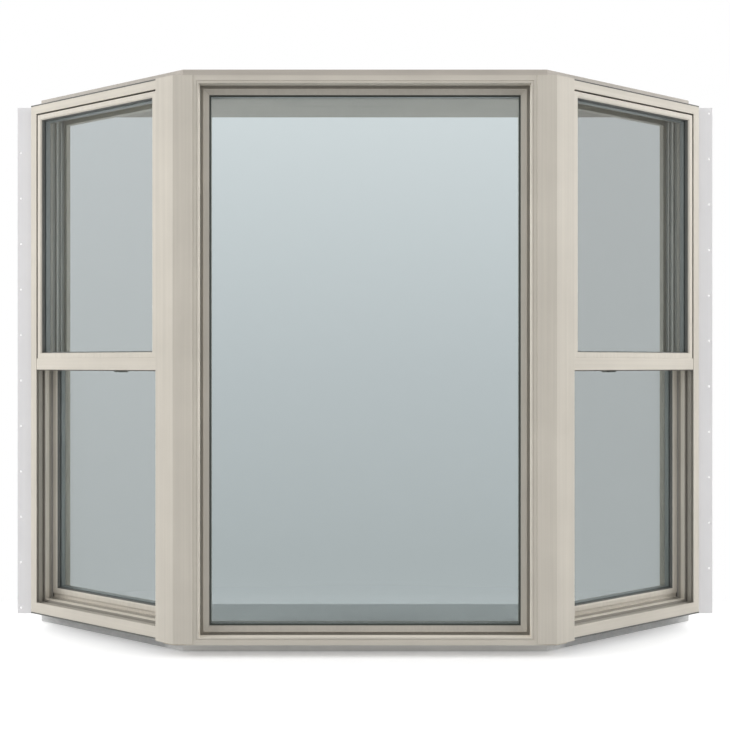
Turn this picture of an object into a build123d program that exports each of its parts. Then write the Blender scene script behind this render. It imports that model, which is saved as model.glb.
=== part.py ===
from build123d import *
import os
from math import cos, radians, sin, tan

# Angle bay window of three units: a fixed picture window between two double-hung windows.
# Millimetres, +Z up, the outside faces -Y, the origin is under the middle of the seat board.

# Overall layout in plan, measured from the front of the middle unit
BAY_ANGLE = 30.0
FRAME_HEIGHT = 1445.0
CENTRE_FACE = 974.0
FLANK_FACE = 533.0
UNIT_INSET = 34.0
FACE_BACK = 2.0
WALL_POST = 48.4
WALL_LAP = 12.6
WALL_RETURN = 17.0

# Head board and seat board
BOARD_THICKNESS = 32.0
BOARD_SETBACK = 55.0

# Mull covers and inner mull trims
COVER_THICKNESS = 2.0
COVER_WING_CENTRE = 50.0
COVER_WING_FLANK = 59.0
COVER_FOOT = 3.0
COVER_EDGE_RADIUS = 0.8
TRIM_THICKNESS = 8.0
TRIM_WING = 26.0
TRIM_RADIUS = 3.0

# Nailing fins
FIN_WIDTH = 54.0
FIN_THICKNESS = 2.0
FIN_LEG = 24.0
FIN_SETBACK = 20.5
NAIL_RADIUS = 3.2
NAIL_EDGE = 9.0
NAIL_PITCH = 130.0
NAIL_END = 16.0
NAIL_COUNT = 11

# Frame edges and working clearances
EDGE_RADIUS = 1.0
FIT = 0.3
MITRE_SLACK = 1.0

# Picture window frame
CENTRE_HEAD_FACE = 19.5
CENTRE_JAMB_FACE = 31.0
BEAD_WIDTH = 4.5
GROOVE_WIDTH = 1.5
GROOVE_DEPTH = 1.5
NOSE_DEPTH = 24.0
SASH_REBATE = 6.5
CENTRE_STOP_DEPTH = 20.0
CENTRE_STOP_STAND = 4.0

# Picture window sash
CENTRE_SASH_GROOVE = 8.0
CENTRE_SASH_NOSE = 13.5
CENTRE_SASH_FACE = 28.0
CENTRE_SASH_SLOPE = 6.0
CENTRE_STOP_SETBACK = 3.0
CENTRE_STOP_FLAT = 12.0
CENTRE_STOP_FALL = 16.0

# Double-hung frames: faces, then the steps of the side channel from front to back
FLANK_JAMB_FACE = 22.0
FLANK_HEAD_FACE = 26.0
FLANK_SILL_FACE = 39.0
FLANK_SILL_LIFT = 10.0
SEAL_THICKNESS = 3.0
SILL_SEAL_THICKNESS = 3.5
LIP_THICKNESS = 3.0
CHANNEL_RECESS = 6.0
SLOT_WIDTH = 8.0
STEP_RECESS = 3.0
STEP_WIDTH = 14.0
RIB_GAP = 4.0
RIB_STAND = 3.5
RIB_WIDTH = 14.0
SHOULDER_STAND = 1.0
TRACK_LEAD = 3.0
TRACK_RECESS = 4.0
SILL_SEAT = 5.5
FLANK_STOP_DEPTH = 14.0
FLANK_STOP_STAND = 9.0
SILL_STOP_RISE = 14.0
LINER_WALL = 3.0
LINER_RIB = 4.0
LINER_PITCH = 16.0
LINER_RIBS = 3

# Hung sashes
SASH_BEHIND_FACE = 1.0
SASH_GAP = 4.0
SASH_FACE = 15.0
SASH_BEVEL = 3.0
SASH_THICKNESS = 44.0
SASH_APART = 10.0
SASH_PLAY = 1.0
KERF_SETBACK = 14.0
KERF_WIDTH = 3.0
KERF_DEPTH = 4.0
GLASS_RECESS = 12.0
CHECK_RAIL_BOTTOM = 697.0
CHECK_RAIL_TOP = 729.0
CHECK_RAIL_CLEAR = 2.0
INTERLOCK_REACH = 7.0
INTERLOCK_THICKNESS = 3.0
INTERLOCK_RISE = 8.0
LOWER_RISE = 7.0
LOWER_RAIL_CAP = 20.0
LEG_HEIGHT = 10.0
LEG_SETBACK = 4.0

# Sash locks
LOCK_LENGTH = 62.0
LOCK_HEIGHT = 22.0
LOCK_PLATE = 4.0
LOCK_HANG = 11.0
LEVER_LENGTH = 38.0
LEVER_HEIGHT = 10.0
LEVER_THICKNESS = 6.0
LEVER_SHIFT = 8.0

# Sealed glass units
PANE_THICKNESS = 3.0
FLANK_UNIT_THICKNESS = 20.0
CENTRE_UNIT_THICKNESS = 24.0
GLASS_BITE = 8.0
SPACER_SETBACK = 1.0
CENTRE_GASKET_WIDTH = 4.5
CENTRE_GASKET_HEEL = 3.0
FLANK_GASKET_WIDTH = 1.6
FLANK_GASKET_HEEL = 8.5
GASKET_TOE = 1.0

# Worked out from the sizes above
TURN = radians(BAY_ANGLE)
HALF_TURN_TAN = tan(TURN / 2)
CORNER_X = CENTRE_FACE / 2
UPPER_FRONT = FACE_BACK + SASH_BEHIND_FACE
UPPER_BACK = UPPER_FRONT + SASH_THICKNESS
LOWER_FRONT = UPPER_BACK + SASH_APART
LOWER_BACK = LOWER_FRONT + SASH_THICKNESS
FLANK_STOP_FRONT = LOWER_BACK + SASH_PLAY
JAMB_DEPTH = FLANK_STOP_FRONT + FLANK_STOP_DEPTH
CENTRE_STOP_FRONT = JAMB_DEPTH - CENTRE_STOP_DEPTH
WALL_CORNER_X = CORNER_X + FLANK_FACE * cos(TURN) - JAMB_DEPTH * sin(TURN)
WALL_CORNER_Y = FLANK_FACE * sin(TURN) + JAMB_DEPTH * cos(TURN)
BOARD_HALF = WALL_CORNER_X + WALL_POST
BAY_DEPTH = WALL_CORNER_Y + WALL_RETURN
FIN_FRONT = FLANK_FACE * sin(TURN) + FIN_SETBACK
FIN_BACK = FIN_FRONT + FIN_THICKNESS


def section(points, radii):
    """A flat face on the given points, each corner rounded by its radius."""
    if any(radii):
        return make_face(FilletPolyline(*points, radius=radii, close=True))
    return make_face(Polyline(*points, close=True))


def corner_radii(outline):
    """The radius of each corner, nought where an entry gives none."""
    return [entry[2] if len(entry) == 3 else 0.0 for entry in outline]


def prism(outline, base, top):
    """A solid standing on a plan outline of (x, y) or (x, y, radius) entries."""
    points = [Vector(entry[0], entry[1], base) for entry in outline]
    return extrude(section(points, corner_radii(outline)), amount=top - base, dir=(0, 0, 1))


def bar(profile, start, end):
    """A solid running along X with an outline of (depth, height) or (depth, height, radius) entries."""
    points = [Vector(start, entry[0], entry[1]) for entry in profile]
    return extrude(section(points, corner_radii(profile)), amount=end - start, dir=(1, 0, 0))


def mitre_wedge(side, rect, reach, front, back):
    """The wedge between the two 45 degree mitres that bounds one side of a frame."""
    x0, x1, z0, z1 = rect
    corners = {
        "low_left": (x0, z0, 1, 1),
        "low_right": (x1, z0, -1, 1),
        "high_left": (x0, z1, 1, -1),
        "high_right": (x1, z1, -1, -1),
    }
    ends = {
        "head": ("high_left", "high_right"),
        "sill": ("low_left", "low_right"),
        "left": ("low_left", "high_left"),
        "right": ("low_right", "high_right"),
    }
    first, last = (corners[name] for name in ends[side])
    outline = []
    for (x, z, across, up), way in ((first, 1), (last, 1), (last, -1), (first, -1)):
        outline.append(Vector(x + way * across * reach, front, z + way * up * reach))
    return extrude(make_face(Polyline(*outline, close=True)), amount=back - front, dir=(0, 1, 0))


def member(profile, side, rect):
    """One mitred side of a frame; the profile gives depth, inset from the rectangle and corner radius."""
    x0, x1, z0, z1 = rect
    reach = MITRE_SLACK + max(abs(entry[1]) for entry in profile)
    front = min(entry[0] for entry in profile) - MITRE_SLACK
    back = max(entry[0] for entry in profile) + MITRE_SLACK
    radii = corner_radii(profile)
    if side in ("head", "sill"):
        edge, way = (z1, -1) if side == "head" else (z0, 1)
        placed = [(entry[0], edge + way * entry[1], radius) for entry, radius in zip(profile, radii)]
        solid = bar(placed, x0 - reach, x1 + reach)
    else:
        edge, way = (x1, -1) if side == "right" else (x0, 1)
        placed = [(edge + way * entry[1], entry[0], radius) for entry, radius in zip(profile, radii)]
        solid = prism(placed, z0 - reach, z1 + reach)
    return solid & mitre_wedge(side, rect, reach, front, back)


def ring(profile, rect):
    """A closed mitred frame of one profile."""
    sides = [member(profile, side, rect) for side in ("head", "left", "sill", "right")]
    return sides[0] + sides[1] + sides[2] + sides[3]


def grow(rect, inset):
    """The rectangle drawn in by an inset."""
    x0, x1, z0, z1 = rect
    return (x0 + inset, x1 - inset, z0 + inset, z1 - inset)


def slab(rect, front, back):
    """A flat sheet filling the rectangle between two depths."""
    x0, x1, z0, z1 = rect
    return Pos((x0 + x1) / 2, (front + back) / 2, (z0 + z1) / 2) * Box(x1 - x0, back - front, z1 - z0)


def flank_point(u, v):
    """Plan point on the right unit, u along its face from the corner and v inwards."""
    return (CORNER_X + u * cos(TURN) - v * sin(TURN), u * sin(TURN) + v * cos(TURN))


def corner_point(v):
    """Plan point on the line that halves the right corner, v behind both faces."""
    return (CORNER_X - v * HALF_TURN_TAN, v)


def on_flank(solid):
    """Turn a solid from its unit's own frame to the right side of the bay."""
    return Pos(CORNER_X, 0, 0) * Rot(0, 0, BAY_ANGLE) * solid


def save(node, solid):
    """Move a solid to the part's origin and write it."""
    placed = Pos(0, -BAY_DEPTH / 2, BOARD_THICKNESS) * solid
    placed.label = node
    export_step(placed, f"parts/{node}.step")


def save_pair(node, solid):
    """Write a right-hand solid and its mirror image on the left."""
    save(f"right_{node}", solid)
    save(f"left_{node}", mirror(solid, about=Plane.YZ))


def make_boards():
    """Head board and seat board, one outline."""
    front = corner_point(BOARD_SETBACK)
    along = (BOARD_HALF - CORNER_X + BOARD_SETBACK * sin(TURN)) / cos(TURN)
    side = flank_point(along, BOARD_SETBACK)
    half = [front, side, (BOARD_HALF, BAY_DEPTH)]
    outline = half + [(-x, y) for x, y in reversed(half)]
    save("seat_board", prism(outline, -BOARD_THICKNESS, 0))
    save("head_board", prism(outline, FRAME_HEIGHT, FRAME_HEIGHT + BOARD_THICKNESS))


def make_wall_sides():
    """Wall jambs and the punched fins beside them."""
    shift = (FIN_BACK - FLANK_FACE * sin(TURN)) / cos(TURN)
    front = flank_point(FLANK_FACE, shift)
    back = (WALL_CORNER_X, WALL_CORNER_Y)
    inner = WALL_CORNER_X - WALL_LAP
    inner_front = (inner, WALL_CORNER_Y - WALL_LAP * tan(TURN))
    rebate = BOARD_HALF - FIN_THICKNESS
    tip = BOARD_HALF + FIN_WIDTH
    leg = FIN_BACK + FIN_LEG
    outline = [
        front,
        (rebate, FIN_BACK),
        (rebate, leg),
        (BOARD_HALF, leg),
        (BOARD_HALF, BAY_DEPTH),
        (inner, BAY_DEPTH, EDGE_RADIUS),
        inner_front,
        back,
    ]
    save_pair("wall_jamb", prism(outline, 0, FRAME_HEIGHT))
    fin_section = [
        (rebate, FIN_FRONT),
        (tip, FIN_FRONT),
        (tip, FIN_BACK),
        (BOARD_HALF, FIN_BACK),
        (BOARD_HALF, leg),
        (rebate, leg),
    ]
    for node, sign in (("right_nailing_fin", 1), ("left_nailing_fin", -1)):
        fin = prism([(sign * x, y) for x, y in fin_section], 0, FRAME_HEIGHT)
        for row in range(NAIL_COUNT):
            rise = NAIL_END + row * NAIL_PITCH
            height = rise if sign < 0 else FRAME_HEIGHT - rise
            spot = Pos(sign * (tip - NAIL_EDGE), FIN_FRONT + FIN_THICKNESS / 2, height)
            fin -= spot * Rot(90, 0, 0) * Cylinder(NAIL_RADIUS, 4 * FIN_THICKNESS)
        save(node, fin)


def make_corners():
    """Mull posts, bent outer covers and bent inner trims."""
    post = [
        (CORNER_X - UNIT_INSET, FACE_BACK),
        corner_point(FACE_BACK),
        flank_point(UNIT_INSET, FACE_BACK),
        flank_point(UNIT_INSET, JAMB_DEPTH),
        corner_point(JAMB_DEPTH),
        (CORNER_X - UNIT_INSET, JAMB_DEPTH),
    ]
    save_pair("mull_post", prism(post, 0, FRAME_HEIGHT))
    cover = [
        (CORNER_X - COVER_WING_CENTRE, 0, COVER_EDGE_RADIUS),
        (*corner_point(0), COVER_THICKNESS + COVER_EDGE_RADIUS),
        (*flank_point(COVER_WING_FLANK, 0), COVER_EDGE_RADIUS),
        flank_point(COVER_WING_FLANK, COVER_THICKNESS),
        corner_point(COVER_THICKNESS),
        (CORNER_X - COVER_WING_CENTRE, COVER_THICKNESS),
    ]
    save_pair("mull_cover", prism(cover, COVER_FOOT, FRAME_HEIGHT))
    inside = JAMB_DEPTH + TRIM_THICKNESS
    meet = JAMB_DEPTH * HALF_TURN_TAN
    trim = [
        (CORNER_X - meet - TRIM_WING, JAMB_DEPTH),
        corner_point(JAMB_DEPTH),
        flank_point(meet + TRIM_WING, JAMB_DEPTH),
        (*flank_point(meet + TRIM_WING, inside), TRIM_RADIUS),
        (*corner_point(inside), TRIM_RADIUS),
        (CORNER_X - meet - TRIM_WING, inside, TRIM_RADIUS),
    ]
    save_pair("inner_mull_trim", prism(trim, 0, FRAME_HEIGHT))


def centre_frame_profile(face):
    """Depth and inset of the picture window's frame from its opening edge; outwards is negative."""
    groove = FACE_BACK + GROOVE_DEPTH
    return [
        (FACE_BACK, 0, EDGE_RADIUS),
        (FACE_BACK, -BEAD_WIDTH, EDGE_RADIUS),
        (groove, -BEAD_WIDTH),
        (groove, -BEAD_WIDTH - GROOVE_WIDTH),
        (FACE_BACK, -BEAD_WIDTH - GROOVE_WIDTH, EDGE_RADIUS),
        (FACE_BACK, -face),
        (JAMB_DEPTH, -face),
        (JAMB_DEPTH, CENTRE_STOP_STAND, EDGE_RADIUS),
        (CENTRE_STOP_FRONT, CENTRE_STOP_STAND),
        (CENTRE_STOP_FRONT, -SASH_REBATE),
        (NOSE_DEPTH, -SASH_REBATE),
        (NOSE_DEPTH, 0),
    ]


def make_centre():
    """The fixed picture window."""
    half = CORNER_X - UNIT_INSET
    sight = (
        -half + CENTRE_JAMB_FACE,
        half - CENTRE_JAMB_FACE,
        CENTRE_HEAD_FACE,
        FRAME_HEIGHT - CENTRE_HEAD_FACE,
    )
    limit = slab((-half, half, 0, FRAME_HEIGHT), FACE_BACK, JAMB_DEPTH)
    level = centre_frame_profile(CENTRE_HEAD_FACE)
    upright = centre_frame_profile(CENTRE_JAMB_FACE)
    save("centre_frame_head", member(level, "head", sight) & limit)
    save("centre_frame_sill", member(level, "sill", sight) & limit)
    save("centre_left_jamb", member(upright, "left", sight) & limit)
    save("centre_right_jamb", member(upright, "right", sight) & limit)

    sash_rect = grow(sight, FIT - SASH_REBATE)
    groove_floor = NOSE_DEPTH + CENTRE_SASH_GROOVE
    glass_front = NOSE_DEPTH + GLASS_RECESS
    glass_back = glass_front + CENTRE_UNIT_THICKNESS
    sash_back = glass_back + GLASS_RECESS
    edge = CENTRE_SASH_FACE
    pocket = edge - GLASS_BITE - SPACER_SETBACK
    profile = [
        (groove_floor, 0),
        (groove_floor, CENTRE_SASH_NOSE),
        (NOSE_DEPTH, CENTRE_SASH_NOSE, EDGE_RADIUS),
        (NOSE_DEPTH + CENTRE_SASH_SLOPE, edge, EDGE_RADIUS),
        (glass_front, edge),
        (glass_front, pocket),
        (glass_back, pocket),
        (glass_back, edge),
        (sash_back, edge),
        (sash_back, 0),
    ]
    save("centre_sash", ring(profile, sash_rect))
    gasket = gasket_profile(glass_front, edge, CENTRE_GASKET_WIDTH, CENTRE_GASKET_HEEL)
    save("centre_gasket", ring(gasket, sash_rect))
    glass_rect = grow(sash_rect, edge - GLASS_BITE)
    save("centre_glass", Compound(children=panes(glass_rect, glass_front, glass_back)))
    spacer = [
        (glass_front + PANE_THICKNESS, SPACER_SETBACK),
        (glass_front + PANE_THICKNESS, GLASS_BITE),
        (glass_back - PANE_THICKNESS, GLASS_BITE),
        (glass_back - PANE_THICKNESS, SPACER_SETBACK),
    ]
    save("centre_spacer", ring(spacer, glass_rect))
    crest = edge - CENTRE_STOP_SETBACK
    stop = [
        (sash_back, 0),
        (sash_back, crest, EDGE_RADIUS),
        (sash_back + CENTRE_STOP_FLAT, crest, TRIM_RADIUS),
        (CENTRE_STOP_FRONT, edge - CENTRE_STOP_FALL, EDGE_RADIUS),
        (CENTRE_STOP_FRONT, 0),
    ]
    save("centre_inner_stop", ring(stop, sash_rect))


def gasket_profile(glass_front, edge, width, heel):
    """Wedge gasket between a sash's edge and its outer pane."""
    return [
        (glass_front - heel, edge),
        (glass_front, edge),
        (glass_front, edge + width),
        (glass_front - GASKET_TOE, edge + width),
    ]


def panes(rect, front, back):
    """The outer and inner pane of a sealed unit."""
    outer = slab(rect, front, front + PANE_THICKNESS)
    inner = slab(rect, back - PANE_THICKNESS, back)
    return [outer, inner]


def sash_profile(front):
    """Depth and inset of a hung sash, with its glass pocket and the kerf in its outer edge."""
    back = front + SASH_THICKNESS
    glass_front = front + GLASS_RECESS
    glass_back = glass_front + FLANK_UNIT_THICKNESS
    pocket = SASH_FACE - GLASS_BITE
    kerf = back - KERF_SETBACK
    return [
        (front, 0, EDGE_RADIUS),
        (front, SASH_FACE - SASH_BEVEL, EDGE_RADIUS),
        (front + SASH_BEVEL, SASH_FACE, EDGE_RADIUS),
        (glass_front, SASH_FACE),
        (glass_front, pocket),
        (glass_back, pocket),
        (glass_back, SASH_FACE),
        (back - SASH_BEVEL, SASH_FACE, EDGE_RADIUS),
        (back, SASH_FACE - SASH_BEVEL, EDGE_RADIUS),
        (back, 0, EDGE_RADIUS),
        (kerf, 0),
        (kerf, KERF_DEPTH),
        (kerf - KERF_WIDTH, KERF_DEPTH),
        (kerf - KERF_WIDTH, 0),
    ]


def channel_profile(face, track, stand):
    """Depth and inset of a hung window's frame: lip, slot, step, rib, shoulder, track and stop."""
    lip = FACE_BACK + LIP_THICKNESS
    step = lip + SLOT_WIDTH
    rib_gap = step + STEP_WIDTH
    rib = rib_gap + RIB_GAP
    shoulder = rib + RIB_WIDTH
    track_front = LOWER_FRONT - TRACK_LEAD
    return [
        (FACE_BACK, -face, EDGE_RADIUS),
        (FACE_BACK, 0, EDGE_RADIUS),
        (lip, 0, EDGE_RADIUS),
        (lip, -CHANNEL_RECESS),
        (step, -CHANNEL_RECESS),
        (step, -STEP_RECESS, EDGE_RADIUS),
        (rib_gap, -STEP_RECESS, EDGE_RADIUS),
        (rib_gap, -CHANNEL_RECESS),
        (rib, -CHANNEL_RECESS),
        (rib, RIB_STAND, EDGE_RADIUS),
        (shoulder, RIB_STAND, EDGE_RADIUS),
        (shoulder, SHOULDER_STAND),
        (track_front, SHOULDER_STAND),
        (track_front, track),
        (FLANK_STOP_FRONT, track),
        (FLANK_STOP_FRONT, stand, EDGE_RADIUS),
        (JAMB_DEPTH, stand, EDGE_RADIUS),
    ]


def make_flank_frame(start, end, sight):
    """Mitred frame of a hung window and the ribbed liners of its jambs."""
    top = FRAME_HEIGHT - SEAL_THICKNESS
    limit = slab((start, end, 0, top), FACE_BACK, JAMB_DEPTH)
    jamb = channel_profile(FLANK_JAMB_FACE, -TRACK_RECESS, FLANK_STOP_STAND)
    jamb.append((JAMB_DEPTH, -FLANK_JAMB_FACE))
    head_face = FLANK_HEAD_FACE - SEAL_THICKNESS
    head = channel_profile(head_face, -TRACK_RECESS, FLANK_STOP_STAND)
    head.append((JAMB_DEPTH, -head_face))
    nose = FLANK_SILL_FACE - FLANK_SILL_LIFT
    sill = channel_profile(nose, SILL_SEAT, SILL_SEAT + SILL_STOP_RISE)
    sill += [(JAMB_DEPTH, -FLANK_SILL_FACE), (BOARD_SETBACK, -FLANK_SILL_FACE), (BOARD_SETBACK, -nose)]
    save_pair("frame_head", on_flank(member(head, "head", sight) & limit))
    save_pair("frame_sill", on_flank(member(sill, "sill", sight) & limit))
    save_pair("inner_jamb", on_flank(member(jamb, "left", sight) & limit))
    save_pair("outer_jamb", on_flank(member(jamb, "right", sight) & limit))

    track_front = LOWER_FRONT - TRACK_LEAD
    wall = LINER_WALL - TRACK_RECESS
    liner = [(track_front, -TRACK_RECESS)]
    for rib in range(LINER_RIBS):
        rib_front = track_front + rib * LINER_PITCH
        liner += [(rib_front, wall)] if rib else []
        liner += [(rib_front, RIB_STAND, EDGE_RADIUS), (rib_front + LINER_RIB, RIB_STAND, EDGE_RADIUS)]
        liner += [(rib_front + LINER_RIB, wall)]
    liner += [(FLANK_STOP_FRONT, wall), (FLANK_STOP_FRONT, -TRACK_RECESS)]
    liner_top = sight[3] + TRACK_RECESS - FIT
    tall = (sight[0], sight[1], sight[2], FRAME_HEIGHT + FLANK_HEAD_FACE)
    liner_limit = slab((start, end, 0, liner_top), FACE_BACK, JAMB_DEPTH)
    liners = [on_flank(member(liner, side, tall) & liner_limit) for side in ("left", "right")]
    save_pair("jamb_tracks", Compound(children=liners))


def make_flankers():
    """Both double-hung windows, drawn once and mirrored."""
    start = UNIT_INSET
    end = FLANK_FACE
    sight = (
        start + FLANK_JAMB_FACE,
        end - FLANK_JAMB_FACE,
        FLANK_SILL_FACE,
        FRAME_HEIGHT - FLANK_HEAD_FACE,
    )
    make_flank_frame(start, end, sight)

    near = sight[0] + SASH_GAP
    far = sight[1] - SASH_GAP
    foot = FLANK_SILL_FACE + SILL_SEAT + FIT
    lower_top = CHECK_RAIL_TOP + LOWER_RISE
    cap = lower_top - LOWER_RAIL_CAP
    upper = (near, far, CHECK_RAIL_TOP, sight[3] - SASH_GAP)
    lower = (near, far, foot + LEG_HEIGHT, cap)
    save_pair("upper_sash", on_flank(ring(sash_profile(UPPER_FRONT), upper)))

    rib_front = FACE_BACK + LIP_THICKNESS + SLOT_WIDTH + STEP_WIDTH + RIB_GAP
    wide_back = rib_front - CHECK_RAIL_CLEAR
    front_part = [
        (UPPER_FRONT, CHECK_RAIL_BOTTOM, EDGE_RADIUS),
        (UPPER_FRONT, CHECK_RAIL_TOP, EDGE_RADIUS),
        (wide_back, CHECK_RAIL_TOP),
        (wide_back, CHECK_RAIL_BOTTOM),
    ]
    hook = CHECK_RAIL_BOTTOM + INTERLOCK_RISE
    rear_part = [
        (wide_back, CHECK_RAIL_BOTTOM),
        (wide_back, CHECK_RAIL_TOP),
        (UPPER_BACK, CHECK_RAIL_TOP),
        (UPPER_BACK, hook + INTERLOCK_THICKNESS),
        (UPPER_BACK + INTERLOCK_REACH, hook + INTERLOCK_THICKNESS, EDGE_RADIUS),
        (UPPER_BACK + INTERLOCK_REACH, hook, EDGE_RADIUS),
        (UPPER_BACK, hook),
        (UPPER_BACK, CHECK_RAIL_BOTTOM, EDGE_RADIUS),
    ]
    rail = bar(front_part, sight[0] + FIT, sight[1] - FIT) + bar(rear_part, near, far)
    save_pair("check_rail", on_flank(rail))

    cap_rail = [
        (LOWER_FRONT, cap),
        (LOWER_FRONT, lower_top, EDGE_RADIUS),
        (LOWER_BACK, lower_top, EDGE_RADIUS),
        (LOWER_BACK, cap),
    ]
    leg = slab((near, far, foot, foot + LEG_HEIGHT), LOWER_FRONT + LEG_SETBACK, LOWER_BACK)
    lower_sash = ring(sash_profile(LOWER_FRONT), lower) + bar(cap_rail, near, far) + leg
    save_pair("lower_sash", on_flank(lower_sash))

    for node, rect, front in (("upper_glass", upper, UPPER_FRONT), ("lower_glass", lower, LOWER_FRONT)):
        glass_rect = grow(rect, SASH_FACE - GLASS_BITE + FIT)
        glass_front = front + GLASS_RECESS
        pair = panes(glass_rect, glass_front, glass_front + FLANK_UNIT_THICKNESS)
        save_pair(node, Compound(children=[on_flank(pane) for pane in pair]))

    head_seal = slab((start, end, FRAME_HEIGHT - SEAL_THICKNESS, FRAME_HEIGHT), FACE_BACK, JAMB_DEPTH)
    seal_foot = FLANK_SILL_LIFT - SILL_SEAL_THICKNESS
    sill_seal = slab((start, end, seal_foot, FLANK_SILL_LIFT), FACE_BACK, BOARD_SETBACK)
    wedge = (SASH_FACE, FLANK_GASKET_WIDTH, FLANK_GASKET_HEEL)
    gaskets = [
        ring(gasket_profile(UPPER_FRONT + GLASS_RECESS, *wedge), upper),
        ring(gasket_profile(LOWER_FRONT + GLASS_RECESS, *wedge), lower),
        head_seal,
        sill_seal,
    ]
    save_pair("gaskets", Compound(children=[on_flank(gasket) for gasket in gaskets]))
    save_pair("sash_lock", on_flank(make_lock((start + end) / 2, cap - SASH_FACE - LOCK_HANG)))


def rounded_plate(middle, level, length, height, front, back):
    """A plate across the depth with half-round ends."""
    left, right = middle - length / 2, middle + length / 2
    low, high = level - height / 2, level + height / 2
    radius = height / 2 - FIT
    outline = [Vector(x, front, z) for x, z in ((left, low), (right, low), (right, high), (left, high))]
    face = make_face(FilletPolyline(*outline, radius=radius, close=True))
    return extrude(face, amount=back - front, dir=(0, 1, 0))


def make_lock(middle, low):
    """Sash lock on the inside of the lower sash's top rail: base plate and lever."""
    level = low + LOCK_HEIGHT / 2
    plate_back = LOWER_BACK + LOCK_PLATE
    base = rounded_plate(middle, level, LOCK_LENGTH, LOCK_HEIGHT, LOWER_BACK, plate_back)
    lever_back = plate_back + LEVER_THICKNESS
    lever = rounded_plate(middle + LEVER_SHIFT, level, LEVER_LENGTH, LEVER_HEIGHT, plate_back, lever_back)
    return base + lever


os.makedirs("parts", exist_ok=True)
make_boards()
make_wall_sides()
make_corners()
make_centre()
make_flankers()
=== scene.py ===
"""Looks of a three-unit angle bay window, dressed round its fixed solids."""

import logging
import math
from dataclasses import dataclass, field, replace
from enum import Enum

import bmesh
import bpy
from mathutils import Matrix, Vector


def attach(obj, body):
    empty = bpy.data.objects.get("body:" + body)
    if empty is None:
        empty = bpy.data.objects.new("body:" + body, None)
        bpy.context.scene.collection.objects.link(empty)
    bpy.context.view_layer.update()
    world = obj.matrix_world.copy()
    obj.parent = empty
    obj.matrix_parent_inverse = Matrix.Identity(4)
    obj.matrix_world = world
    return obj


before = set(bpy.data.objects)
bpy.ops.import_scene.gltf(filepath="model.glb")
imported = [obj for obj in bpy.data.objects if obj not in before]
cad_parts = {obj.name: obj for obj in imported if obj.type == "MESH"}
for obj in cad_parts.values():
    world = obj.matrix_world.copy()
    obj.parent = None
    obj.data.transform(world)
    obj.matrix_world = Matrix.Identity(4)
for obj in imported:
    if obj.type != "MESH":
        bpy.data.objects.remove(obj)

LOG = logging.getLogger("bay_window")
Colour = tuple[float, float, float]
MILLIMETRE = 0.001
BAY_ANGLE = math.radians(30.0)
CORNER_X = 487.0
HALF_DEPTH = 191.98
SEAT_TOP = 32.0
FRAME_DEPTH = 116.0


class Side(Enum):
    """The half of the bay that a piece belongs to, with its sign along X."""

    LEFT = -1
    MIDDLE = 0
    RIGHT = 1


class Run(Enum):
    """Which way a member runs, which sets the direction of its fine streaks."""

    LEVEL = "level"
    UPRIGHT = "upright"


def linear(red: float, green: float, blue: float) -> Colour:
    """Turns a display colour of 0 to 255 into linear light.

    Args:
        red: Red as displayed.
        green: Green as displayed.
        blue: Blue as displayed.

    Returns:
        The same colour as linear values of 0 to 1.
    """
    shares = (value / 255.0 for value in (red, green, blue))
    return tuple(s / 12.92 if s <= 0.04045 else ((s + 0.055) / 1.055) ** 2.4 for s in shares)


def flank_face() -> float:
    """Finds how far the side units' faces lie along their own inward direction, in millimetres."""
    return -(CORNER_X * math.sin(BAY_ANGLE) + HALF_DEPTH * math.cos(BAY_ANGLE))


class Graph:
    """The node tree of one material, built node by node."""

    def __init__(self, name: str) -> None:
        """Starts an empty tree.

        Args:
            name: Name of the material.
        """
        self.material = bpy.data.materials.new(name)
        self.material.use_nodes = True
        self.tree = self.material.node_tree
        self.tree.nodes.clear()

    def add(self, kind: str, inputs: dict | None = None, **settings: object) -> bpy.types.Node:
        """Adds a node and fills or links its sockets.

        Args:
            kind: Type of the node.
            inputs: Values or output sockets by the name or number of the input.
            settings: Properties of the node itself.

        Returns:
            The new node.
        """
        node = self.tree.nodes.new(kind)
        for key, value in settings.items():
            setattr(node, key, value)
        for key, value in (inputs or {}).items():
            if isinstance(value, bpy.types.NodeSocket):
                self.tree.links.new(value, node.inputs[key])
            else:
                node.inputs[key].default_value = value
        return node

    def ramp(self, factor: bpy.types.NodeSocket, stops: list[tuple[float, Colour]]) -> bpy.types.NodeSocket:
        """Adds a colour ramp.

        Args:
            factor: Socket that drives the ramp.
            stops: Places of 0 to 1 with their colours, lowest first.

        Returns:
            The colour output.
        """
        node = self.add("ShaderNodeValToRGB", {"Fac": factor})
        elements = node.color_ramp.elements
        while len(elements) < len(stops):
            elements.new(0.5)
        for element, (place, colour) in zip(elements, stops):
            element.position = place
            element.color = (*colour, 1.0)
        return node.outputs["Color"]

    def noise(self, place: bpy.types.NodeSocket, scale: float, detail: float = 2.0) -> bpy.types.NodeSocket:
        """Adds a noise pattern.

        Args:
            place: Coordinates that the pattern reads.
            scale: Waves a metre.
            detail: Octaves.

        Returns:
            The factor output.
        """
        inputs = {"Vector": place, "Scale": scale, "Detail": detail}
        return self.add("ShaderNodeTexNoise", inputs).outputs["Fac"]

    def finish(self, surface: bpy.types.NodeSocket) -> bpy.types.Material:
        """Closes the tree.

        Args:
            surface: Shader output for the surface.

        Returns:
            The finished material.
        """
        self.add("ShaderNodeOutputMaterial", {"Surface": surface})
        return self.material


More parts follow.
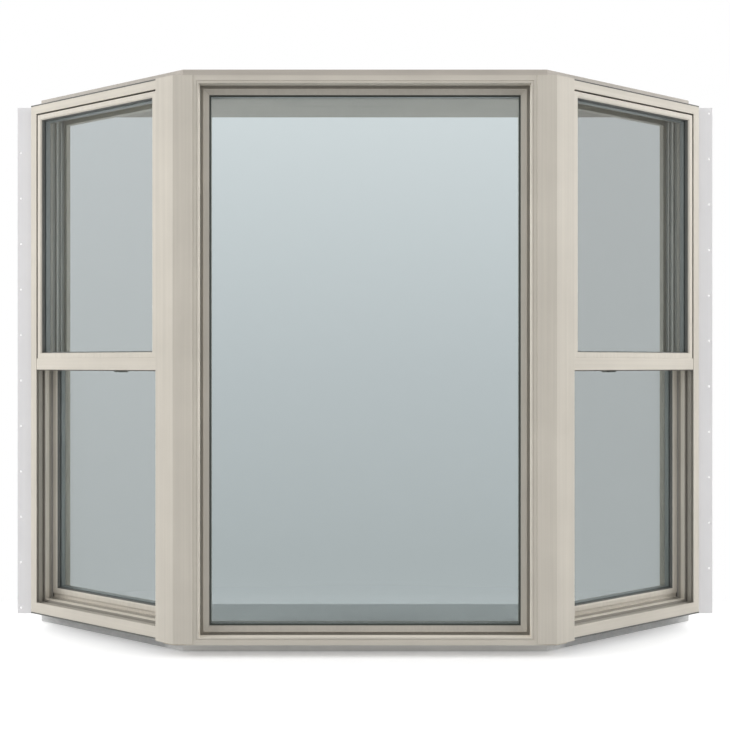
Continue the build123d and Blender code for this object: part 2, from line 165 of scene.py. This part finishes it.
@dataclass(frozen=True)
class CoatedFinish:
    """A coated or moulded surface with faint drawn streaks, mottling and orange peel.

    The shade is a row of depths in millimetres behind the unit's face, each with a brightness:
    painted shade below 1 and painted light above 1. It is no property of the real coat: it was
    matched by measured tones to the light and dark of the channels in the photograph.
    """

    name: str
    colour: Colour
    roughness: float = 0.45
    streak: float = 0.05
    mottle: float = 0.05
    peel: float = 0.00005
    peel_scale: float = 900.0
    run: Run = Run.UPRIGHT
    turn: float = 0.0
    metallic: float = 0.0
    specular: float = 0.35
    # Painted light and shade by depth, none when empty.
    shade: tuple[tuple[float, float], ...] = ()

    def material(self) -> bpy.types.Material:
        """Builds the material.

        Returns:
            The material.
        """
        graph = Graph(self.name)
        place = graph.add("ShaderNodeTexCoord").outputs["Object"]
        turned = graph.add("ShaderNodeMapping", {"Vector": place, "Rotation": (0.0, 0.0, -self.turn)})
        stretch = (1.6, 160.0, 160.0) if self.run is Run.LEVEL else (160.0, 160.0, 1.6)
        drawn = graph.add("ShaderNodeMapping", {"Vector": turned.outputs[0], "Scale": stretch})
        streaks = graph.noise(drawn.outputs[0], 1.0, 4.0)
        patches = graph.noise(place, 7.0, 5.0)
        streaked = self._shade(graph, streaks, self.streak)
        mottled = self._shade(graph, patches, self.mottle)
        tone = graph.add("ShaderNodeMath", {0: streaked, 1: mottled}, operation="MULTIPLY").outputs[0]
        # Painted light and shade: the tone is scaled by a brightness set by the depth behind the unit's
        # face.
        if self.shade:
            painted_light_and_shade = self._paint_by_depth(graph, turned.outputs[0])
            tone = graph.add("ShaderNodeMath", {0: tone, 1: painted_light_and_shade}, operation="MULTIPLY").outputs[0]
        tinted = {0: self.colour, "Scale": tone}
        colour = graph.add("ShaderNodeVectorMath", tinted, operation="SCALE").outputs[0]
        uneven = graph.add(
            "ShaderNodeMapRange",
            {"Value": patches, "To Min": self.roughness * 0.85, "To Max": self.roughness * 1.15},
        )
        grain = graph.noise(place, self.peel_scale, 2.0)
        fine = graph.add("ShaderNodeBump", {"Height": grain, "Distance": self.peel, "Strength": 0.6})
        coarse = graph.add(
            "ShaderNodeBump",
            {"Height": streaks, "Distance": self.peel, "Strength": 0.5, "Normal": fine.outputs[0]},
        )
        shader = graph.add(
            "ShaderNodeBsdfPrincipled",
            {
                "Base Color": colour,
                "Roughness": uneven.outputs[0],
                "Normal": coarse.outputs[0],
                "Metallic": self.metallic,
                "Specular IOR Level": self.specular,
            },
        )
        return graph.finish(shader.outputs[0])

    def _paint_by_depth(self, graph: Graph, turned: bpy.types.NodeSocket) -> bpy.types.NodeSocket:
        """Reads the painted light and shade at a point's depth behind the face of its unit.

        Args:
            graph: Tree to build in.
            turned: Coordinates turned to the unit's own directions.

        Returns:
            The brightness of the painted light and shade.
        """
        face = -HALF_DEPTH if self.turn == 0.0 else flank_face()
        depth = graph.add("ShaderNodeSeparateXYZ", {"Vector": turned}).outputs["Y"]
        reach = {
            "Value": depth,
            "From Min": face * MILLIMETRE,
            "From Max": (face + FRAME_DEPTH) * MILLIMETRE,
        }
        share = graph.add("ShaderNodeMapRange", reach).outputs[0]
        top = max(bright for _, bright in self.shade)
        stops = [(depth_mm / FRAME_DEPTH, (bright / top,) * 3) for depth_mm, bright in self.shade]
        painted_light_and_shade = graph.ramp(share, stops)
        return graph.add("ShaderNodeMath", {0: painted_light_and_shade, 1: top}, operation="MULTIPLY").outputs[0]

    @staticmethod
    def _shade(graph: Graph, pattern: bpy.types.NodeSocket, depth: float) -> bpy.types.NodeSocket:
        """Turns a pattern into a brightness about 1.

        Args:
            graph: Tree to build in.
            pattern: Factor of 0 to 1.
            depth: How far the brightness leaves 1 either way.

        Returns:
            The brightness.
        """
        inputs = {
            "Value": pattern,
            "From Min": 0.25,
            "From Max": 0.75,
            "To Min": 1.0 - depth,
            "To Max": 1.0 + depth,
        }
        return graph.add("ShaderNodeMapRange", inputs).outputs[0]


@dataclass(frozen=True)
class GlassFinish:
    """Clear sealed glass with a grey-blue tint, darker towards the sill by painted reflection.

    The darkening and the darker right side are painted reflection and shade, matched to the
    photograph, where they come from the surroundings. The real panes are all of one tint.
    """

    name: str
    low: float
    high: float
    stops: tuple[tuple[float, Colour], ...]
    gloss: float = 0.02
    surfaces: int = 4
    glance: float = 1.22

    def material(self) -> bpy.types.Material:
        """Builds the material.

        Returns:
            The material.
        """
        graph = Graph(self.name)
        place = graph.add("ShaderNodeTexCoord").outputs["Object"]
        height = graph.add("ShaderNodeSeparateXYZ", {"Vector": place}).outputs["Z"]
        reach = {"Value": height, "From Min": self.low, "From Max": self.high}
        share = graph.add("ShaderNodeMapRange", reach)
        power = 1.0 / self.surfaces
        pane_stops = [(at, tuple(value**power for value in colour)) for at, colour in self.stops]
        # The ramp holds the glass's own tint together with the painted reflection that darkens it towards
        # the sill.
        tint = graph.ramp(share.outputs[0], pane_stops)
        clear = graph.add("ShaderNodeBsdfTransparent", {"Color": tint})
        waves = graph.noise(place, 3.0, 1.0)
        roller = graph.add("ShaderNodeBump", {"Height": waves, "Distance": 0.0001, "Strength": 0.1})
        mirror = graph.add(
            "ShaderNodeBsdfAnisotropic",
            {"Color": (0.9, 0.95, 1.0, 1.0), "Roughness": self.gloss, "Normal": roller.outputs[0]},
        )
        leaving = graph.add("ShaderNodeNewGeometry").outputs["Backfacing"]
        entering = graph.add("ShaderNodeMath", {0: 1.0, 1: leaving}, operation="SUBTRACT").outputs[0]
        fresnel = graph.add("ShaderNodeFresnel", {"IOR": self.glance}).outputs[0]
        mirrored = graph.add("ShaderNodeMath", {0: fresnel, 1: entering}, operation="MULTIPLY")
        mixed = {0: mirrored.outputs[0], 1: clear.outputs[0], 2: mirror.outputs[0]}
        shader = graph.add("ShaderNodeMixShader", mixed)
        return graph.finish(shader.outputs[0])


@dataclass
class Studio:
    """Camera, lamps, surroundings and floor."""

    lens: float = 43.35
    sensor: float = 36.0
    camera_place: tuple[float, float, float] = (0.0, -2.418, 0.746)
    shift: float = -0.0019
    floor_half: float = 12.0
    floor_drop: float = 0.002
    floor_lift: float = 0.27
    floor_tones: tuple[float, float] = (0.79, 0.81)
    floor_bounce: float = 0.66
    floor_shift: tuple[float, float, float] = (0.0, 0.3, 0.0)
    floor_stretch: tuple[float, float, float] = (0.6, 1.3, 1.0)
    fade_start: float = 0.55
    fade_end: float = 1.1
    lamp_target: tuple[float, float, float] = (0.0, 0.0, 0.75)
    ambient_low: float = 0.36
    ambient_high: float = 0.58

    def build(self) -> None:
        """Makes the camera, the lamps, the world and the floor."""
        self._camera()
        self._lamp("side_left", (-3.7, -1.1, 2.1), 2.0, 92.0)
        self._lamp("side_right", (3.7, -1.1, 2.1), 2.0, 80.0)
        self._lamp("front_top", (0.0, -2.8, 3.6), 2.6, 18.0)
        self._lamp("inside_left", (-2.0, 1.3, 0.9), 1.4, 43.0)
        self._lamp("inside_right", (2.0, 1.3, 0.9), 1.4, 43.0)
        self._world()
        self._floor()
        LOG.info("studio: camera, 5 lamps, world and floor")

    def _camera(self) -> None:
        """Places the camera level, as the photograph was taken."""
        data = bpy.data.cameras.new("camera")
        data.lens = self.lens
        data.sensor_width = self.sensor
        data.shift_y = self.shift
        data.clip_start = 0.05
        data.clip_end = 100.0
        camera = bpy.data.objects.new("camera", data)
        camera.location = self.camera_place
        camera.rotation_euler = (math.pi / 2.0, 0.0, 0.0)
        bpy.context.collection.objects.link(camera)
        bpy.context.scene.camera = camera

    def _lamp(self, name: str, place: tuple[float, float, float], size: float, power: float) -> None:
        """Adds one square soft lamp that points at the middle of the bay.

        Args:
            name: Name of the lamp.
            place: Where it hangs, in metres.
            size: Its side, in metres.
            power: Its power, in watts.
        """
        data = bpy.data.lights.new(name, "AREA")
        data.size = size
        data.energy = power
        lamp = bpy.data.objects.new(name, data)
        lamp.location = place
        aim = Vector(self.lamp_target) - Vector(place)
        lamp.rotation_euler = aim.to_track_quat("-Z", "Y").to_euler()
        lamp.visible_camera = False
        lamp.visible_glossy = False
        bpy.context.collection.objects.link(lamp)

    def _world(self) -> None:
        """Soft ambient light, brighter from above, that shows plain white behind the window."""
        world = bpy.data.worlds.new("surroundings")
        bpy.context.scene.world = world
        world.use_nodes = True
        nodes = world.node_tree.nodes
        links = world.node_tree.links
        nodes.clear()
        path = nodes.new("ShaderNodeLightPath")
        seen = self._larger(world, path.outputs["Is Camera Ray"], path.outputs["Is Transmission Ray"])
        shown = self._larger(world, seen, path.outputs["Is Glossy Ray"])
        place = nodes.new("ShaderNodeTexCoord")
        parts = nodes.new("ShaderNodeSeparateXYZ")
        links.new(place.outputs["Generated"], parts.inputs[0])
        sky = nodes.new("ShaderNodeMapRange")
        sky.inputs["From Min"].default_value = -0.3
        sky.inputs["From Max"].default_value = 0.9
        sky.inputs["To Min"].default_value = self.ambient_low
        sky.inputs["To Max"].default_value = self.ambient_high
        links.new(parts.outputs["Z"], sky.inputs["Value"])
        strength = nodes.new("ShaderNodeMix")
        links.new(shown, strength.inputs[0])
        links.new(sky.outputs[0], strength.inputs[2])
        strength.inputs[3].default_value = 1.0
        background = nodes.new("ShaderNodeBackground")
        links.new(strength.outputs[0], background.inputs["Strength"])
        background.inputs["Color"].default_value = (1.0, 1.0, 1.0, 1.0)
        output = nodes.new("ShaderNodeOutputWorld")
        links.new(background.outputs[0], output.inputs["Surface"])

    @staticmethod
    def _larger(
        world: bpy.types.World, first: bpy.types.NodeSocket, second: bpy.types.NodeSocket
    ) -> bpy.types.NodeSocket:
        """Takes the larger of two values.

        Args:
            world: World whose tree is built.
            first: One value.
            second: The other value.

        Returns:
            The larger value.
        """
        node = world.node_tree.nodes.new("ShaderNodeMath")
        node.operation = "MAXIMUM"
        world.node_tree.links.new(first, node.inputs[0])
        world.node_tree.links.new(second, node.inputs[1])
        return node.outputs[0]

    def _floor(self) -> None:
        """A pale floor that shows white and keeps the window's shadow."""
        mesh = bpy.data.meshes.new("floor")
        shape = bmesh.new()
        bmesh.ops.create_grid(shape, x_segments=4, y_segments=4, size=self.floor_half)
        bmesh.ops.translate(shape, verts=shape.verts, vec=(0.0, 0.0, -self.floor_drop))
        shape.to_mesh(mesh)
        shape.free()
        floor = bpy.data.objects.new("floor", mesh)
        bpy.context.collection.objects.link(floor)
        graph = Graph("pale_floor")
        path = graph.add("ShaderNodeLightPath")
        place = graph.add("ShaderNodeTexCoord").outputs["Object"]
        mottle = graph.noise(place, 2.0, 3.0)
        dull, fair = self.floor_tones
        tone = graph.ramp(mottle, [(0.3, (dull,) * 3), (0.7, (fair,) * 3)])
        lit = graph.add("ShaderNodeBsdfDiffuse", {"Color": tone})
        lift = graph.add("ShaderNodeEmission", {"Color": (1.0, 1.0, 1.0, 1.0), "Strength": self.floor_lift})
        near = graph.add("ShaderNodeAddShader", {0: lit.outputs[0], 1: lift.outputs[0]})
        shifted = {0: place, 1: self.floor_shift}
        ahead = graph.add("ShaderNodeVectorMath", shifted, operation="ADD").outputs[0]
        stretched = {0: ahead, 1: self.floor_stretch}
        reach = graph.add("ShaderNodeVectorMath", stretched, operation="MULTIPLY").outputs[0]
        distance = graph.add("ShaderNodeVectorMath", {0: reach}, operation="LENGTH").outputs["Value"]
        fade = {"Value": distance, "From Min": self.fade_start, "From Max": self.fade_end}
        away = graph.add("ShaderNodeMapRange", fade, interpolation_type="SMOOTHSTEP").outputs[0]
        white = graph.add("ShaderNodeEmission", {"Color": (1.0, 1.0, 1.0, 1.0), "Strength": 1.0})
        bright = graph.add("ShaderNodeMixShader", {0: away, 1: near.outputs[0], 2: white.outputs[0]})
        bounce = (self.floor_bounce, self.floor_bounce, self.floor_bounce, 1.0)
        dim = graph.add("ShaderNodeBsdfDiffuse", {"Color": bounce})
        rays = {0: path.outputs["Is Camera Ray"], 1: path.outputs["Is Glossy Ray"]}
        shown = graph.add("ShaderNodeMath", rays, operation="MAXIMUM").outputs[0]
        shader = graph.add("ShaderNodeMixShader", {0: shown, 1: dim.outputs[0], 2: bright.outputs[0]})
        mesh.materials.append(graph.finish(shader.outputs[0]))


@dataclass
class Wardrobe:
    """Makes each finish once for each side and direction."""

    made: dict[str, bpy.types.Material] = field(default_factory=dict)

    def coated(self, finish: CoatedFinish, side: Side, run: Run) -> bpy.types.Material:
        """Finds or makes a coated finish whose streaks follow a member.

        Args:
            finish: The finish in its plain form.
            side: The half of the bay, which turns the streaks and the shade.
            run: The way the member runs.

        Returns:
            The material.
        """
        name = f"{finish.name}_{run.value}_{side.name.lower()}"
        if name not in self.made:
            turn = side.value * BAY_ANGLE
            self.made[name] = replace(finish, name=name, run=run, turn=turn).material()
        return self.made[name]

    def glass(self, finish: GlassFinish) -> bpy.types.Material:
        """Finds or makes a glass.

        Args:
            finish: The glass.

        Returns:
            The material.
        """
        if finish.name not in self.made:
            self.made[finish.name] = finish.material()
        return self.made[finish.name]


# Painted light and shade down the side units' channels: darker in the slots and steps, lighter on the rib
# and the inner parts.
CHANNEL_PAINTED_LIGHT_AND_SHADE = (
    (0.0, 1.0),
    (5.0, 1.0),
    (6.0, 0.5),
    (12.8, 0.5),
    (13.2, 0.72),
    (26.6, 0.72),
    (27.2, 0.12),
    (30.8, 0.12),
    (31.2, 1.22),
    (44.8, 1.22),
    (45.4, 0.68),
    (56.0, 0.68),
    (60.0, 1.2),
    (116.0, 1.2),
)
# Painted light on the front of the seat board.
EDGE_PAINTED_LIGHT = ((0.0, 1.5), (78.0, 1.5), (88.0, 1.0), (116.0, 1.0))
# Painted shade on the front of the jamb tracks.
TRACK_PAINTED_SHADE = ((0.0, 0.5), (62.0, 0.5), (66.0, 1.0), (116.0, 1.0))
# Painted light in the reveals of the middle unit.
REVEAL_PAINTED_LIGHT = ((0.0, 1.0), (3.8, 1.0), (5.0, 1.4), (23.0, 1.4), (26.0, 1.0), (116.0, 1.0))
# Painted shade on the middle sash behind its front.
SLOPE_PAINTED_SHADE = ((0.0, 1.0), (24.1, 1.0), (24.9, 0.68), (116.0, 0.68))

CLADDING = CoatedFinish("cladding", linear(197, 191, 180), roughness=0.42)
# The side and middle frames are copies of the cladding with painted light and shade by depth.
FLANK_FRAME = replace(CLADDING, name="side_frame", shade=CHANNEL_PAINTED_LIGHT_AND_SHADE)
CENTRE_FRAME = replace(CLADDING, name="middle_frame", shade=REVEAL_PAINTED_LIGHT)
SASH = CoatedFinish("sash_finish", linear(200, 194, 183), roughness=0.42)
# The middle sash is a copy of the sash finish with painted shade behind its front.
CENTRE_SASH = replace(SASH, name="middle_sash", shade=SLOPE_PAINTED_SHADE)
HEAD_BOARD = CoatedFinish(
    "head_board_paint",
    linear(186, 180, 172),
    roughness=0.6,
    streak=0.08,
    peel=0.00012,
)
WALL_POST = replace(HEAD_BOARD, name="wall_post_paint", colour=linear(146, 142, 135))
# The seat board carries painted light on its front.
SEAT_BOARD = replace(
    HEAD_BOARD,
    name="seat_board_paint",
    colour=linear(206, 206, 205),
    shade=EDGE_PAINTED_LIGHT,
)
FIN = CoatedFinish("fin_vinyl", linear(224, 223, 224), roughness=0.5, streak=0.015, mottle=0.02)
POST = CoatedFinish("post_wood", linear(188, 180, 166), roughness=0.7, streak=0.1, peel=0.0002)
TRIM = CoatedFinish("inner_trim", linear(196, 193, 187), roughness=0.35, streak=0.02)
RUBBER = CoatedFinish("gasket_rubber", linear(100, 101, 98), roughness=0.55, streak=0.05, mottle=0.1)
DARK_RUBBER = replace(RUBBER, name="dark_gasket_rubber", colour=linear(52, 56, 52))
SPACER = CoatedFinish("spacer_bar", linear(164, 167, 165), roughness=0.45, metallic=0.2)
# The track carries painted shade on its front.
TRACK = CoatedFinish("track_vinyl", linear(214, 211, 205), roughness=0.5, shade=TRACK_PAINTED_SHADE)
LOCK = CoatedFinish("lock_metal", linear(214, 210, 202), roughness=0.35)
# Painted shadow: a dark strip that stands in for the shade under the check rail.
SHADOW_STRIP = CoatedFinish("rail_shadow_strip", linear(96, 93, 87), roughness=0.6, streak=0.05, mottle=0.1)
SCREW = CoatedFinish("screw_steel", linear(165, 164, 160), roughness=0.3, metallic=0.7)

# Each glass darkens towards the sill by painted reflection, and the right glass is darker than the left by
# painted shade.
CENTRE_GLASS = GlassFinish(
    "centre_window_glass",
    low=0.25,
    high=1.40,
    stops=((0.0, linear(168, 177, 178)), (0.4, linear(181, 190, 192)), (1.0, linear(207, 216, 218))),
)
LEFT_GLASS = GlassFinish(
    "left_window_glass",
    low=0.12,
    high=1.40,
    stops=((0.0, linear(168, 175, 175)), (1.0, linear(189, 195, 196))),
)
RIGHT_GLASS = GlassFinish(
    "right_window_glass",
    low=0.12,
    high=1.40,
    stops=((0.0, linear(163, 170, 170)), (1.0, linear(175, 180, 180))),
)


@dataclass
class Assembly:
    """A group of solids that belong together, with the small pieces that they carry."""

    wardrobe: Wardrobe
    side: Side = Side.MIDDLE

    def finishes(self) -> dict[str, tuple[CoatedFinish, Run]]:
        """Gives the coated finish and direction of each solid."""
        return {}

    def glazing(self) -> dict[str, GlassFinish]:
        """Gives the glass of each glazed solid."""
        return {}

    def details(self) -> list[bpy.types.Object]:
        """Builds the small pieces, none unless a group has its own."""
        return []

    def build(self) -> None:
        """Dresses the solids and adds the small pieces."""
        for node, (finish, run) in self.finishes().items():
            self._dress(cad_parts[node], self.wardrobe.coated(finish, self.side, run))
        for node, glass in self.glazing().items():
            self._dress(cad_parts[node], self.wardrobe.glass(glass))
        for piece in self.details():
            LOG.info("added %s", piece.name)

    @staticmethod
    def _dress(piece: bpy.types.Object, material: bpy.types.Material) -> None:
        """Gives a piece one material.

        Args:
            piece: The piece.
            material: What it is dressed in.
        """
        piece.data.materials.clear()
        piece.data.materials.append(material)
        LOG.info("dressed %s in %s", piece.name, material.name)


@dataclass
class Boards(Assembly):
    """The head board and the seat board."""

    def finishes(self) -> dict[str, tuple[CoatedFinish, Run]]:
        """Gives the coated finish and direction of each solid."""
        return {"head_board": (HEAD_BOARD, Run.LEVEL), "seat_board": (SEAT_BOARD, Run.LEVEL)}


@dataclass
class WallSide(Assembly):
    """The post that closes the bay to the wall, and its punched nailing fin."""

    def finishes(self) -> dict[str, tuple[CoatedFinish, Run]]:
        """Gives the coated finish and direction of each solid."""
        name = self.side.name.lower()
        return {f"{name}_wall_jamb": (WALL_POST, Run.UPRIGHT), f"{name}_nailing_fin": (FIN, Run.UPRIGHT)}


@dataclass
class Corner(Assembly):
    """The post between two units, its outer cover and its inner trim."""

    def finishes(self) -> dict[str, tuple[CoatedFinish, Run]]:
        """Gives the coated finish and direction of each solid."""
        name = self.side.name.lower()
        return {
            f"{name}_mull_post": (POST, Run.UPRIGHT),
            f"{name}_mull_cover": (CLADDING, Run.UPRIGHT),
            f"{name}_inner_mull_trim": (TRIM, Run.UPRIGHT),
        }


@dataclass
class PictureWindow(Assembly):
    """The fixed middle unit."""

    def finishes(self) -> dict[str, tuple[CoatedFinish, Run]]:
        """Gives the coated finish and direction of each solid."""
        return {
            "centre_frame_head": (CLADDING, Run.LEVEL),
            "centre_frame_sill": (CENTRE_FRAME, Run.LEVEL),
            "centre_left_jamb": (CENTRE_FRAME, Run.UPRIGHT),
            "centre_right_jamb": (CENTRE_FRAME, Run.UPRIGHT),
            "centre_sash": (CENTRE_SASH, Run.UPRIGHT),
            "centre_gasket": (DARK_RUBBER, Run.UPRIGHT),
            "centre_spacer": (SPACER, Run.UPRIGHT),
            "centre_inner_stop": (TRIM, Run.UPRIGHT),
        }

    def glazing(self) -> dict[str, GlassFinish]:
        """Gives the glass of each glazed solid."""
        return {"centre_glass": CENTRE_GLASS}


@dataclass
class HungWindow(Assembly):
    """One double-hung side unit, with the spacers of its glass and the screws of its lock.

    Lengths are in millimetres. Across, they run along the unit's face from the corner of
    the bay, in depth from its face inwards, and up from the top of the seat board.
    """

    glass_left: float = 67.3
    glass_right: float = 499.7
    upper_glass: tuple[float, float] = (736.3, 1407.7)
    lower_glass: tuple[float, float] = (62.1, 708.7)
    upper_front: float = 18.0
    lower_front: float = 72.0
    gap: float = 14.0
    spacer_setback: float = 1.0
    spacer_height: float = 9.5
    clearance: float = 0.1
    lock_middle: float = 283.5
    lock_level: float = 701.0
    plate_back: float = 105.0
    lever_back: float = 111.0
    screw_shift: float = -22.0
    pivot_shift: float = 14.0
    head_radius: float = 3.0
    head_height: float = 1.3
    head_bevel: float = 0.6
    seat_gap: float = 0.02
    rail_low: float = 697.0
    rail_ends: tuple[float, float] = (56.6, 510.4)
    strip_height: float = 2.4
    strip_depth: float = 6.0
    strip_front: float = 5.0
    strip_bevel: float = 0.8

    def finishes(self) -> dict[str, tuple[CoatedFinish, Run]]:
        """Gives the coated finish and direction of each solid."""
        kinds = {
            "frame_head": (FLANK_FRAME, Run.LEVEL),
            "frame_sill": (FLANK_FRAME, Run.LEVEL),
            "inner_jamb": (FLANK_FRAME, Run.UPRIGHT),
            "outer_jamb": (FLANK_FRAME, Run.UPRIGHT),
            "jamb_tracks": (TRACK, Run.UPRIGHT),
            "upper_sash": (SASH, Run.UPRIGHT),
            "check_rail": (SASH, Run.LEVEL),
            "lower_sash": (SASH, Run.UPRIGHT),
            "gaskets": (RUBBER, Run.UPRIGHT),
            "sash_lock": (LOCK, Run.LEVEL),
        }
        return {f"{self.side.name.lower()}_{kind}": dress for kind, dress in kinds.items()}

    def glazing(self) -> dict[str, GlassFinish]:
        """Gives the glass of each glazed solid."""
        glass = LEFT_GLASS if self.side is Side.LEFT else RIGHT_GLASS
        name = self.side.name.lower()
        return {f"{name}_upper_glass": glass, f"{name}_lower_glass": glass}

    def details(self) -> list[bpy.types.Object]:
        """Builds the spacers, the lock's screw and pivot, and the painted shadow strip under the check
        rail.

        Returns:
            The pieces.
        """
        return [
            self._spacer("upper_spacer", self.upper_glass, self.upper_front),
            self._spacer("lower_spacer", self.lower_glass, self.lower_front),
            self._head("lock_screw", self.lock_middle + self.screw_shift, self.plate_back),
            self._head("lock_pivot", self.lock_middle + self.pivot_shift, self.lever_back),
            self._shadow_strip(),
        ]

    def _spacer(self, kind: str, glass: tuple[float, float], front: float) -> bpy.types.Object:
        """Builds the closed bar that keeps two panes apart.

        Args:
            kind: Name of the piece without its side.
            glass: Lowest and highest edge of the panes.
            front: Depth of the outer pane's inner face.

        Returns:
            The piece.
        """
        low, high = glass[0] + self.spacer_setback, glass[1] - self.spacer_setback
        left, right = self.glass_left + self.spacer_setback, self.glass_right - self.spacer_setback
        shape = bmesh.new()
        bmesh.ops.create_grid(shape, x_segments=1, y_segments=1, size=0.5)
        bmesh.ops.scale(shape, vec=(right - left, high - low, 1.0), verts=shape.verts)
        bmesh.ops.inset_region(
            shape,
            faces=shape.faces,
            thickness=self.spacer_height,
            use_boundary=True,
            use_even_offset=True,
        )
        inner = min(shape.faces, key=lambda face: face.calc_center_median().length)
        bmesh.ops.delete(shape, geom=[inner], context="FACES_ONLY")
        thickness = self.gap - 2.0 * self.clearance
        grown = bmesh.ops.extrude_face_region(shape, geom=shape.faces)["geom"]
        raised = [item for item in grown if isinstance(item, bmesh.types.BMVert)]
        bmesh.ops.translate(shape, verts=raised, vec=(0.0, 0.0, -thickness))
        middle = (left + right) / 2.0
        return self._stand(kind, shape, (middle, front + self.clearance, (low + high) / 2.0), SPACER)

    def _head(self, kind: str, across: float, front: float) -> bpy.types.Object:
        """Builds the rounded head of a screw or pivot on the lock.

        Args:
            kind: Name of the piece without its side.
            across: Where its middle lies across the unit.
            front: Depth of the face it stands on.

        Returns:
            The piece.
        """
        shape = bmesh.new()
        bmesh.ops.create_cone(
            shape,
            cap_ends=True,
            segments=32,
            radius1=self.head_radius,
            radius2=self.head_radius,
            depth=self.head_height,
        )
        bmesh.ops.translate(shape, verts=shape.verts, vec=(0.0, 0.0, -self.head_height / 2.0))
        outer = min(shape.faces, key=lambda face: face.calc_center_median().z)
        bmesh.ops.bevel(
            shape,
            geom=list(outer.edges),
            affect="EDGES",
            offset=self.head_bevel,
            segments=3,
            profile=0.5,
            material=-1,
        )
        return self._stand(kind, shape, (across, front + self.seat_gap, self.lock_level), SCREW)

    def _shadow_strip(self) -> bpy.types.Object:
        """Builds the dark strip under the check rail: a painted shadow of the rail.

        Returns:
            The piece.
        """
        near, far = self.rail_ends
        shape = bmesh.new()
        bmesh.ops.create_cube(shape, size=1.0)
        bmesh.ops.scale(shape, vec=(far - near, self.strip_height, self.strip_depth), verts=shape.verts)
        bmesh.ops.translate(shape, verts=shape.verts, vec=(0.0, 0.0, -self.strip_depth / 2.0))
        low = -self.strip_height / 2.0
        foot = low + self.clearance
        under = [edge for edge in shape.edges if all(vert.co.y < foot for vert in edge.verts)]
        bmesh.ops.bevel(
            shape,
            geom=[edge for edge in under if edge.calc_length() > self.strip_depth * 2.0],
            affect="EDGES",
            offset=self.strip_bevel,
            segments=3,
            profile=0.5,
            material=-1,
        )
        up = self.rail_low - self.strip_height / 2.0 - self.seat_gap
        return self._stand("rail_shadow_strip", shape, ((near + far) / 2.0, self.strip_front, up), SHADOW_STRIP)

    def _stand(
        self, kind: str, shape: bmesh.types.BMesh, place: tuple[float, float, float], finish: CoatedFinish
    ) -> bpy.types.Object:
        """Turns a flat-lying shape upright, sets it in its unit and dresses it.

        Args:
            kind: Name of the piece without its side.
            shape: The shape, drawn across and up, with its depth towards minus Z.
            place: Where its front middle lies: across, in depth and up.
            finish: What it is dressed in.

        Returns:
            The piece.
        """
        across, depth, up = place
        unit = Matrix.Translation((CORNER_X, -HALF_DEPTH, SEAT_TOP)) @ Matrix.Rotation(BAY_ANGLE, 4, "Z")
        stood = unit @ Matrix.Translation((across, depth, up)) @ Matrix.Rotation(math.pi / 2.0, 4, "X")
        mirrored = Matrix.Scale(float(self.side.value), 4, (1.0, 0.0, 0.0))
        placed = Matrix.Scale(MILLIMETRE, 4) @ mirrored @ stood
        bmesh.ops.transform(shape, matrix=placed, verts=shape.verts)
        bmesh.ops.recalc_face_normals(shape, faces=shape.faces)
        name = f"{self.side.name.lower()}_{kind}"
        mesh = bpy.data.meshes.new(name)
        shape.to_mesh(mesh)
        shape.free()
        piece = bpy.data.objects.new(name, mesh)
        bpy.context.collection.objects.link(piece)
        self._dress(piece, self.wardrobe.coated(finish, self.side, Run.UPRIGHT))
        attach(piece, "root")
        return piece


def main() -> None:
    """Builds the studio, then each part of the window in its order."""
    logging.basicConfig(level=logging.INFO, format="%(name)s: %(message)s")
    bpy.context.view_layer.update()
    bpy.context.scene.view_settings.view_transform = "Standard"
    wardrobe = Wardrobe()
    Studio().build()
    Boards(wardrobe).build()
    for side in (Side.LEFT, Side.RIGHT):
        WallSide(wardrobe, side).build()
        Corner(wardrobe, side).build()
        HungWindow(wardrobe, side).build()
    PictureWindow(wardrobe).build()


if __name__ == "__main__":
    main()
